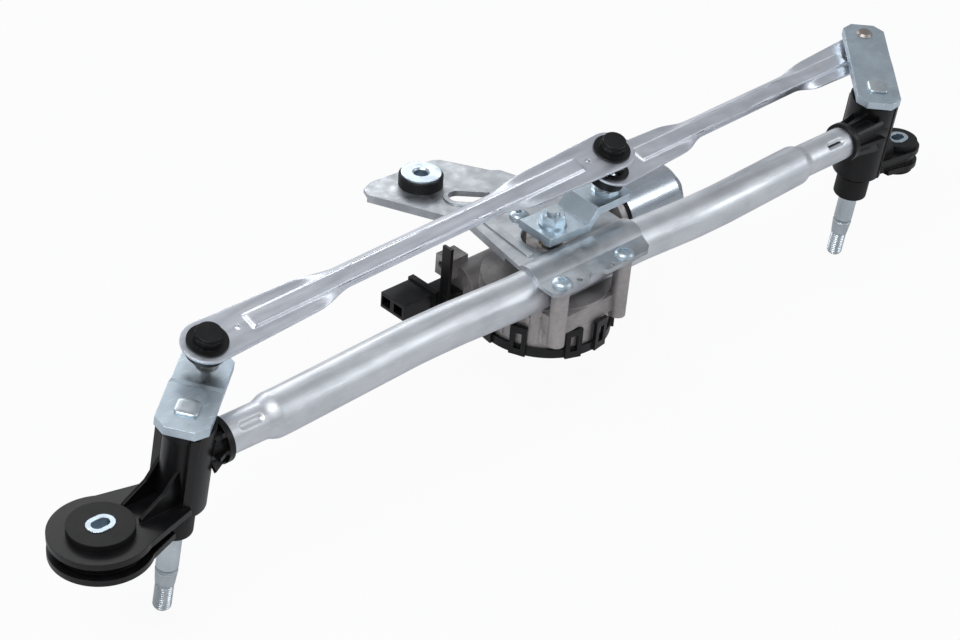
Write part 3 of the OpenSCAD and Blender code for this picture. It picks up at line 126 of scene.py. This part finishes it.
def finish(name, verts, faces, material, body, *nodes):
    used = sorted({k for face in faces for k in face})
    renumber = {k: i for i, k in enumerate(used)}
    verts = [verts[k] for k in used]
    faces = [tuple(renumber[k] for k in face) for face in faces]
    mesh = bpy.data.meshes.new(name)
    mesh.from_pydata(verts, [], faces)
    mesh.update()
    mesh.polygons.foreach_set("use_smooth", [True] * len(mesh.polygons))
    mesh.materials.append(material)
    piece = bpy.data.objects.new(name, mesh)
    bpy.context.scene.collection.objects.link(piece)
    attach(piece, body)
    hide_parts(*nodes)
    return piece


# Frame tube: extruded aluminium, tumbled smooth, with faint draw lines along its length
# and the odd scuff. Its two ends are drawn in and staked onto the pivot housings.
def metal(name, colour, second, rough, grain, lines, stretch, metallic=1.0, wear=0.25, edge=0.0005,
          scuffs=0.35):
    """Bare or plated metal: cloudy tone, fine grain in the bump, lines along one direction."""
    m = bpy.data.materials.new(name)
    m.use_nodes = True
    n, l = m.node_tree.nodes, m.node_tree.links
    skin = n["Principled BSDF"]
    skin.inputs["Metallic"].default_value = metallic
    place = n.new("ShaderNodeTexCoord")
    cloud = n.new("ShaderNodeTexNoise")
    cloud.inputs["Scale"].default_value = 55
    cloud.inputs["Detail"].default_value = 6
    l.new(place.outputs["Object"], cloud.inputs["Vector"])
    tone = n.new("ShaderNodeValToRGB")
    tone.color_ramp.elements[0].position = 0.36
    tone.color_ramp.elements[0].color = (*second, 1)
    tone.color_ramp.elements[1].position = 0.62
    tone.color_ramp.elements[1].color = (*colour, 1)
    l.new(cloud.outputs["Fac"], tone.inputs["Fac"])
    span = n.new("ShaderNodeMapping")
    span.inputs["Scale"].default_value = stretch
    l.new(place.outputs["Object"], span.inputs["Vector"])
    drawn = n.new("ShaderNodeTexNoise")
    drawn.inputs["Scale"].default_value = lines
    drawn.inputs["Detail"].default_value = 4
    l.new(span.outputs["Vector"], drawn.inputs["Vector"])
    gloss = n.new("ShaderNodeMapRange")
    gloss.inputs["From Min"].default_value = 0.3
    gloss.inputs["From Max"].default_value = 0.7
    gloss.inputs["To Min"].default_value = rough * (1 - wear)
    gloss.inputs["To Max"].default_value = rough * (1 + wear)
    l.new(drawn.outputs["Fac"], gloss.inputs["Value"])
    l.new(gloss.outputs["Result"], skin.inputs["Roughness"])
    # short scuffs that run across the lines and catch the light
    scuff_span = n.new("ShaderNodeMapping")
    scuff_span.inputs["Rotation"].default_value = (0.3, 0.2, 0.7)
    scuff_span.inputs["Scale"].default_value = (90, 1300, 1300)
    l.new(place.outputs["Object"], scuff_span.inputs["Vector"])
    scuff = n.new("ShaderNodeTexNoise")
    scuff.inputs["Scale"].default_value = 1
    scuff.inputs["Detail"].default_value = 2
    l.new(scuff_span.outputs["Vector"], scuff.inputs["Vector"])
    scuff_share = n.new("ShaderNodeMapRange")
    scuff_share.inputs["From Min"].default_value = 0.62
    scuff_share.inputs["From Max"].default_value = 0.70
    scuff_share.inputs["To Max"].default_value = scuffs
    l.new(scuff.outputs["Fac"], scuff_share.inputs["Value"])
    worn = n.new("ShaderNodeMix")
    worn.data_type = "RGBA"
    worn.inputs["B"].default_value = (*[min(c * 1.35, 0.95) for c in colour], 1)
    l.new(scuff_share.outputs["Result"], worn.inputs["Factor"])
    l.new(tone.outputs["Color"], worn.inputs["A"])
    l.new(worn.outputs["Result"], skin.inputs["Base Color"])
    speck = n.new("ShaderNodeTexNoise")
    speck.inputs["Scale"].default_value = grain
    speck.inputs["Detail"].default_value = 3
    l.new(place.outputs["Object"], speck.inputs["Vector"])
    both = n.new("ShaderNodeMath")
    both.operation = "ADD"
    l.new(drawn.outputs["Fac"], both.inputs[0])
    l.new(speck.outputs["Fac"], both.inputs[1])
    round_edge = n.new("ShaderNodeBevel")
    round_edge.samples = 4
    round_edge.inputs["Radius"].default_value = edge
    bump = n.new("ShaderNodeBump")
    bump.inputs["Strength"].default_value = 0.12
    bump.inputs["Distance"].default_value = 0.0002
    l.new(round_edge.outputs["Normal"], bump.inputs["Normal"])
    l.new(both.outputs[0], bump.inputs["Height"])
    l.new(bump.outputs["Normal"], skin.inputs["Normal"])
    return m


def dress(material, *names):
    for name in names:
        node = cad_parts[name]
        node.data.materials.clear()
        node.data.materials.append(material)


tube_skin = metal("drawn_aluminium", (0.71, 0.735, 0.77), (0.62, 0.645, 0.685), 0.48, 900, 320, (0.04, 1, 1))
dress(tube_skin, "frame_tube")
tube_from, tube_to, tube_r, neck_r = -251.5, 240.0, 12.5, 10.25
near_neck, far_neck, cone = 23.0, 39.0, 9.0
stakes = [(tube_from + 14, -0.7), (tube_from + 14, 2.44), (tube_to - 15, -0.7), (tube_to - 15, 2.44)]
sway = [(-251.5, 0), (-215, -0.8), (-121, 3.0), (-93, 2.6), (-50, 0), (50, 0), (93, -2.6), (121, -2.8), (200, 0.2), (240, 0)]


def tube_radius(x, angle):
    into = smooth_step(x, tube_from + near_neck, tube_from + near_neck + cone)
    out = smooth_step(x, tube_to - far_neck - cone, tube_to - far_neck)
    r = neck_r + (tube_r - neck_r) * (into - out)
    for at, around in stakes:
        along = max(abs(x - at) - 5.4, 0) / 2.1
        turned = (angle - around + math.pi) % (2 * math.pi) - math.pi
        across = abs(turned) * r / 2.3
        reach = math.hypot(along, across)
        r -= 1.6 * (1 - smooth_step(reach, 0.45, 1.05))
    return r


def tube_sway(x):
    """Sideways set of the tube, bent a little at four places, with each bend eased."""
    total = 0.0
    for shift in (-6, -3, 0, 3, 6):
        at = min(max(x + shift, sway[0][0]), sway[-1][0])
        for (x0, y0), (x1, y1) in zip(sway, sway[1:]):
            if x0 <= at <= x1:
                total += (y0 + (y1 - y0) * (at - x0) / (x1 - x0)) / 5
                break
    return total


tube_places = [tube_from + i * 0.75 for i in range(60)]
tube_places += [tube_from + 45 + i * (tube_to - tube_from - 105) / 70 for i in range(70)]
tube_places += [tube_to - 60 + i * 0.75 for i in range(81)]
turns = 72
tube_verts, tube_faces = [], []
for inner in (0, 1):
    for x in tube_places:
        for k in range(turns):
            a = 2 * math.pi * k / turns
            r = tube_radius(x, a) - 1.6 * inner
            y = -20.6 - 88 + tube_sway(x) + r * math.sin(a)
            tube_verts.append(((x + 19.6) / 1000, y / 1000, (-11.4 + 1.3 + r * math.cos(a)) / 1000))
rows = len(tube_places)
for i in range(rows - 1):
    for k in range(turns):
        a, b = i * turns + k, i * turns + (k + 1) % turns
        tube_faces.append((a, a + turns, b + turns, b))
        a, b = a + rows * turns, b + rows * turns
        tube_faces.append((a, b, b + turns, a + turns))
for row, flip in ((0, False), (rows - 1, True)):
    for k in range(turns):
        a, b = row * turns + k, row * turns + (k + 1) % turns
        c, d = b + rows * turns, a + rows * turns
        tube_faces.append((a, d, c, b) if flip else (a, b, c, d))
finish("frame_tube_drawn", tube_verts, tube_faces, tube_skin, "frame", "frame_tube")


# Pivot housings, gear cover and plug socket: glass-filled black nylon, satin, faintly
# mottled where the fibres come to the skin.
def moulding(name, colour, second, rough, grain, depth, edge=0.0006):
    m = bpy.data.materials.new(name)
    m.use_nodes = True
    n, l = m.node_tree.nodes, m.node_tree.links
    skin = n["Principled BSDF"]
    skin.inputs["Specular IOR Level"].default_value = 0.32
    place = n.new("ShaderNodeTexCoord")
    mottle = n.new("ShaderNodeTexNoise")
    mottle.inputs["Scale"].default_value = 140
    mottle.inputs["Detail"].default_value = 5
    l.new(place.outputs["Object"], mottle.inputs["Vector"])
    tone = n.new("ShaderNodeValToRGB")
    tone.color_ramp.elements[0].position = 0.35
    tone.color_ramp.elements[0].color = (*colour, 1)
    tone.color_ramp.elements[1].position = 0.7
    tone.color_ramp.elements[1].color = (*second, 1)
    l.new(mottle.outputs["Fac"], tone.inputs["Fac"])
    l.new(tone.outputs["Color"], skin.inputs["Base Color"])
    gloss = n.new("ShaderNodeMapRange")
    gloss.inputs["To Min"].default_value = rough - 0.08
    gloss.inputs["To Max"].default_value = rough + 0.1
    l.new(mottle.outputs["Fac"], gloss.inputs["Value"])
    l.new(gloss.outputs["Result"], skin.inputs["Roughness"])
    fine = n.new("ShaderNodeTexNoise")
    fine.inputs["Scale"].default_value = grain
    fine.inputs["Detail"].default_value = 3
    l.new(place.outputs["Object"], fine.inputs["Vector"])
    round_edge = n.new("ShaderNodeBevel")
    round_edge.samples = 4
    round_edge.inputs["Radius"].default_value = edge
    bump = n.new("ShaderNodeBump")
    bump.inputs["Strength"].default_value = 0.3
    bump.inputs["Distance"].default_value = depth
    l.new(round_edge.outputs["Normal"], bump.inputs["Normal"])
    l.new(fine.outputs["Fac"], bump.inputs["Height"])
    l.new(bump.outputs["Normal"], skin.inputs["Normal"])
    return m


nylon = moulding("black_nylon", (0.0025, 0.0025, 0.003), (0.005, 0.005, 0.0055), 0.34, 1500, 0.0001)
dress(nylon, "near_housing", "far_housing", "gear_cover", "motor_connector")
socket_nylon = moulding("socket_nylon", (0.003, 0.003, 0.0035), (0.006, 0.006, 0.0068), 0.4, 1200, 0.0001)
dress(socket_nylon, "near_socket", "far_socket", "crank_socket_top", "crank_socket_low")
black_rubber = moulding("black_rubber", (0.0025, 0.0025, 0.003), (0.005, 0.005, 0.0055), 0.55, 900, 0.00015)
dress(black_rubber, "near_grommet", "far_grommet", "near_seal", "far_seal", "plate_grommet", "can_seal")

# Zinc-plated steel: levers, crank, link rods, motor can and fixings, passivated to a
# faint blue.
zinc = metal("blue_zinc", (0.60, 0.70, 0.77), (0.52, 0.61, 0.68), 0.36, 1100, 180, (1, 1, 1), scuffs=0.6)
dress(zinc, "near_lever", "far_lever", "crank", "crank_nut", "near_sleeve", "far_sleeve", "plate_bush", "plate_screws")
rod_zinc = metal("rolled_zinc", (0.78, 0.81, 0.87), (0.68, 0.715, 0.775), 0.42, 900, 220, (0.08, 1, 1))
dress(rod_zinc, "near_rod", "far_rod")
sheet_top, rod_sheet, web_half, web_rise = 6.0, 1.5, 4.25, 1.5
end_r, socket_hole, cut_at = 13.75, 9.75, 16.0


def corner(before, at, after, t):
    """Five points that round one corner of a bent strip."""
    d1 = (Vector(before) - Vector(at)).normalized() * t
    d2 = (Vector(after) - Vector(at)).normalized() * t
    p0, p1, p2 = Vector(at) + d1, Vector(at), Vector(at) + d2
    return [p0 * (1 - u) ** 2 + p1 * 2 * u * (1 - u) + p2 * u * u for u in (0, 0.25, 0.5, 0.75, 1)]


def rod_side(s, slope, length):
    """Half of the strip's section from the web to the free edge, bent by the place along the rod."""
    bent = smooth_step(s, 58, 88)
    rise = web_rise * smooth_step(s, 24.2, 26.4)
    half = end_r + (11.5 - end_r) * min(s / 62, 1)
    angle = math.radians(slope) * bent
    reach = (half - web_half) * (1 - bent) + length * bent
    step = rise * (1 - bent)
    top = sheet_top + rise
    foot = (web_half + 1.3 * math.cos(angle), top - step - 1.3 * math.sin(angle))
    tip = (foot[0] + (reach - 1.3) * math.cos(angle), foot[1] - (reach - 1.3) * math.sin(angle))
    edge = (web_half, top)
    soft = 0.62 + 0.55 * bent
    shoulder = corner((0, top), edge, foot, soft)
    heel = corner(edge, foot, tip, 0.62)
    wing = [Vector(heel[-1]).lerp(Vector(tip), u) for u in (0.33, 0.66, 1)]
    return [Vector((w, top)) for w in (0, 1.3, 2.6)] + shoulder + heel + wing


def rod_section(s):
    back = rod_side(s, 38, 6.4)
    front = rod_side(s, 75, 4.5)
    return [(p.x, p.y) for p in reversed(back)] + [(-p.x, p.y) for p in front[1:]]


def make_rod(name, start, axes, length, body, node):
    places = [16, 17.25, 18.5, 19.75, 21, 22.5, 24, 24.6, 25.2, 25.8, 26.4, 28, 32, 38, 44, 50, 56]
    places += [58 + 1.5 * i for i in range(21)] + [92, 100, 110, 122]
    along = places + [length - p for p in reversed(places)]
    verts, faces, index = [], [], {}
    sections = [rod_section(min(s, length - s)) for s in along]
    count = len(sections[0])
    middle = count // 2
    for i, s in enumerate(along):
        for j, (y, z) in enumerate(sections[i]):
            index[i, j] = len(verts)
            verts.append((s, y, z))
    for i in range(len(along) - 1):
        for j in range(count - 1):
            in_hole = middle - 2 <= j < middle + 2 and (i < 4 or i >= len(along) - 5)
            if not in_hole:
                faces.append((index[i, j], index[i, j + 1], index[i + 1, j + 1], index[i + 1, j]))
    # the small round hole between the socket and the web
    for first in (0, len(along) - 5):
        rim = [(first, j) for j in range(middle - 2, middle + 2)]
        rim += [(first + i, middle + 2) for i in range(4)]
        rim += [(first + 4, j) for j in range(middle + 2, middle - 2, -1)]
        rim += [(first + i, middle - 2) for i in range(4, 0, -1)]
        centre = along[first + 2]
        outer = [index[k] for k in rim]
        ring = []
        for k in outer:
            x, y, z = verts[k]
            a = math.atan2(y, x - centre)
            ring.append(len(verts))
            verts.append((centre + 1.6 * math.cos(a), 1.6 * math.sin(a), z))
        for k in range(16):
            m = (k + 1) % 16
            faces.append((outer[k], outer[m], ring[m], ring[k]))
    # the round ends, fanned out from the socket hole to the outline
    for end in (0, 1):
        i = 0 if end == 0 else len(along) - 1
        way = 1 if end == 0 else -1
        base = 0 if end == 0 else length
        loft = [(index[i, j], math.atan2(sections[i][j][0], cut_at)) for j in range(count)]
        first, last = loft[0][1], loft[-1][1]
        half = sections[i][0][0]
        rim = list(loft)
        steps = 40
        extra = []
        for k in range(1, steps):
            a = last - (2 * math.pi - (first - last)) * k / steps
            c, d = math.cos(a), math.sin(a)
            if c <= 0:
                x, y = end_r * c, end_r * d
            else:
                slope = (half - end_r) / cut_at
                reach = end_r / (abs(d) - slope * c)
                x, y = reach * c, reach * d
            extra.append((x, y, a))
        rings = []
        for share in (0.0, 0.3, 0.65):
            row = []
            for k, a in rim:
                x, y, z = verts[k]
                x = (x - base) * way
                inner = (socket_hole * math.cos(a), socket_hole * math.sin(a))
                row.append(len(verts))
                verts.append((base + way * (inner[0] + (x - inner[0]) * share), inner[1] + (y - inner[1]) * share, sheet_top))
            for x, y, a in extra:
                inner = (socket_hole * math.cos(a), socket_hole * math.sin(a))
                row.append(len(verts))
                verts.append((base + way * (inner[0] + (x - inner[0]) * share), inner[1] + (y - inner[1]) * share, sheet_top))
            rings.append(row)
        row = [k for k, a in rim]
        for x, y, a in extra:
            row.append(len(verts))
            verts.append((base + way * x, y, sheet_top))
        rings.append(row)
        n = len(row)
        for low, high in zip(rings, rings[1:]):
            for k in range(n):
                m = (k + 1) % n
                quad = (low[k], low[m], high[m], high[k])
                faces.append(quad if end == 0 else quad[::-1])
    verts = [placed(v, start, axes) for v in verts]
    piece = finish(name, verts, faces, rod_zinc, body, node)
    up = axes @ Vector((0, 0, 1))
    if sum(p.normal.dot(up) * p.area for p in piece.data.polygons) < 0:
        piece.data.flip_normals()
    thick = piece.modifiers.new("thickness", "SOLIDIFY")
    thick.thickness = rod_sheet * 0.001
    thick.offset = -1
    rounding = piece.modifiers.new("edges", "BEVEL")
    rounding.width = 0.0004
    rounding.segments = 2
    rounding.limit_method = "ANGLE"
    rounding.angle_limit = math.radians(50)
    return piece


# Each pivot stands on the frame's tube line and leans; the lever's ball stud turns with it.
lean, splay, sheet_tilt = math.radians(6), math.radians(3), math.radians(16)
pivot_axes = Matrix.Rotation(splay, 3, "Y") @ Matrix.Rotation(lean, 3, "X")
far_pivot_axes = Matrix.Diagonal((-1, 1, 1)) @ pivot_axes
near_pivot = Vector((-252.4, -104.6, -10.1))
far_pivot = Vector((296.6, -101.6, -10.1))
motor_axis = Vector((19.6, -88, 1.3))
lever_top, lever_sheet = 26.4, 5.0
crank_reach, crank_turn = 40.0, math.radians(-3)
crank_low, crank_high = 26.6, 39.2


def lever_ball(pivot, axes, reach, degrees, height):
    a = math.radians(degrees)
    return pivot + axes @ Vector((reach * math.cos(a), reach * math.sin(a), height))


def crank_ball(height):
    return motor_axis + Vector((crank_reach * math.cos(crank_turn), crank_reach * math.sin(crank_turn), height))


def rod_axes(start, end):
    """Along the rod from ball to ball, its flat side tipped towards the front."""
    d = end - start
    swing = Matrix.Rotation(math.atan2(d.y, d.x), 3, "Z")
    rise = Matrix.Rotation(-math.asin(d.z / d.length), 3, "Y")
    return swing @ rise @ Matrix.Rotation(sheet_tilt, 3, "X")


near_ball = lever_ball(near_pivot, pivot_axes, 41.4, 39.6, lever_top - 2.2 + 9.2) + Vector((-1.89, -0.42, 0))
far_ball = lever_ball(far_pivot, far_pivot_axes, 61.9, 133.2, lever_top - lever_sheet - 12) + Vector((-2.28, -0.91, 0))
near_rod_start, near_rod_end = near_ball, crank_ball(crank_high)
far_rod_start, far_rod_end = crank_ball(crank_low), far_ball
near_rod_axes = rod_axes(near_rod_start, near_rod_end)
far_rod_axes = rod_axes(far_rod_start, far_rod_end)
make_rod("near_rod_pressed", near_rod_start, near_rod_axes, (near_rod_end - near_rod_start).length, "near_link", "near_rod")
make_rod("far_rod_pressed", far_rod_start, far_rod_axes, (far_rod_end - far_rod_start).length, "far_link", "far_rod")
can_zinc = metal("can_zinc", (0.60, 0.65, 0.70), (0.52, 0.57, 0.62), 0.28, 900, 200, (0.1, 1, 1))
dress(can_zinc, "motor_can")
plate_steel = metal("satin_plate", (0.54, 0.57, 0.60), (0.38, 0.405, 0.43), 0.44, 800, 160, (1, 1, 1))
dress(plate_steel, "motor_plate")
bright = metal("bright_steel", (0.64, 0.70, 0.74), (0.54, 0.60, 0.64), 0.36, 1200, 300, (1, 1, 0.1))
dress(bright, "near_spindle", "far_spindle", "near_ball_stud", "far_ball_stud", "crank_ball_stud",
      "crank_washers", "near_washers", "far_washers", "output_shaft", "armature_shaft")


def make_spindle(name, origin, axes, way, head_turn, body, node):
    """Turned spindle: helical thread, knurled cone, plain shank and the peened square head."""
    top, tip = 26.4, -106.6
    thread_to, cone_to, pitch = -89.6, -80.6, 1.5
    groove = -37.8 if way > 0 else -42.8
    turns = 120
    levels = [tip + i * pitch / 8 for i in range(int((thread_to - tip) / pitch * 8) + 1)]
    levels += [thread_to + 0.05 + i * 0.9 for i in range(11)]
    levels += [cone_to + d for d in (0.8, 1.0, 1.4, 3.0, 3.4, 3.6)]
    levels += [groove - 1.4, groove - 1.2, groove - 1.19, groove - 0.01, groove, groove + 0.2]
    levels += [19.7, 19.9, 19.95, top]

    def radius(z, a):
        if z <= thread_to:
            turn = (z / pitch + way * a / (2 * math.pi)) % 1
            crest = 5 - 0.75 * min(max(abs(2 * turn - 1) * 1.3 - 0.2, 0), 1)
            return min(crest, 4 + (z - tip) * 0.8)
        if z <= cone_to:
            r = 5.2 + 0.8 * (z - thread_to) / (cone_to - thread_to)
            return r - 0.22 * (1 - math.cos(30 * a)) / 2
        if cone_to + 0.9 < z < cone_to + 3.2:
            return 5.2
        if groove - 1.195 < z < groove - 0.005:
            return 5.45
        return 4.6 if z > 19.92 else 6.0

    def head(a, half):
        return half / (abs(math.cos(a)) ** 5 + abs(math.sin(a)) ** 5) ** 0.2

    rings = [[(radius(z, 2 * math.pi * k / turns), 2 * math.pi * k / turns, z) for k in range(turns)] for z in levels]
    for z, half in ((top, 5.6), (top + 0.25, 6.15), (top + 0.9, 6.1), (top + 1.3, 5.7), (top + 1.5, 5.0), (top + 1.45, 2.5)):
        row = []
        for k in range(turns):
            a = 2 * math.pi * k / turns
            row.append((head(a - math.radians(head_turn), half), a, z))
        rings.append(row)
    verts = [placed((r * math.cos(a), r * math.sin(a), z), origin, axes) for row in rings for r, a, z in row]
    faces = []
    for i in range(len(rings) - 1):
        for k in range(turns):
            m = (k + 1) % turns
            faces.append((i * turns + k, i * turns + m, (i + 1) * turns + m, (i + 1) * turns + k))
    last = (len(rings) - 1) * turns
    verts += [placed((0, 0, tip), origin, axes), placed((0, 0, top + 1.4), origin, axes)]
    foot, crown = len(verts) - 2, len(verts) - 1
    for k in range(turns):
        m = (k + 1) % turns
        faces.append((foot, m, k))
        faces.append((crown, last + k, last + m))
    if way < 0:
        faces = [face[::-1] for face in faces]
    return finish(name, verts, faces, bright, body, node)


make_spindle("near_spindle_turned", near_pivot, pivot_axes, 1, 39.6, "near_arm", "near_spindle")
make_spindle("far_spindle_turned", far_pivot, far_pivot_axes, -1, 133.2, "far_arm", "far_spindle")
rivet_steel = metal("rivet_steel", (0.42, 0.38, 0.36), (0.34, 0.31, 0.29), 0.45, 900, 300, (1, 1, 1), edge=0.0002)
dress(rivet_steel, "near_ball_stud", "far_ball_stud")
spring = metal("spring_steel", (0.14, 0.14, 0.16), (0.09, 0.09, 0.1), 0.4, 900, 200, (1, 1, 1))
dress(spring, "near_circlip", "far_circlip")
bronze = metal("sintered_bronze", (0.50, 0.36, 0.20), (0.38, 0.27, 0.15), 0.5, 2200, 300, (1, 1, 1))
dress(bronze, "near_bearings", "far_bearings", "shaft_bushes", "shaft_bearings")
copper = metal("copper", (0.70, 0.38, 0.22), (0.55, 0.28, 0.15), 0.3, 900, 300, (1, 1, 1))
dress(copper, "commutator", "connector_pins")
ferrite = metal("ferrite", (0.07, 0.07, 0.075), (0.04, 0.04, 0.045), 0.6, 1500, 300, (1, 1, 1), metallic=0.3)
dress(ferrite, "magnets")
laminated = metal("laminations", (0.3, 0.3, 0.32), (0.2, 0.2, 0.22), 0.45, 900, 900, (1, 0.05, 0.05))
dress(laminated, "armature_core")

# Gear housing: die-cast aluminium alloy, shot-blasted, a warm grey with a fine sandy skin.
cast = metal("die_casting", (0.44, 0.42, 0.415), (0.33, 0.315, 0.31), 0.5, 1400, 500, (1, 1, 1), metallic=0.85)
dress(cast, "gear_housing")

# Worm wheel: natural acetal; brush board: brown pressed paper laminate.
acetal = moulding("acetal", (0.78, 0.75, 0.66), (0.84, 0.81, 0.73), 0.4, 900, 0.0001)
dress(acetal, "worm_wheel")
board = moulding("brown_board", (0.22, 0.12, 0.05), (0.3, 0.17, 0.08), 0.6, 900, 0.0001)
dress(board, "brush_holder")
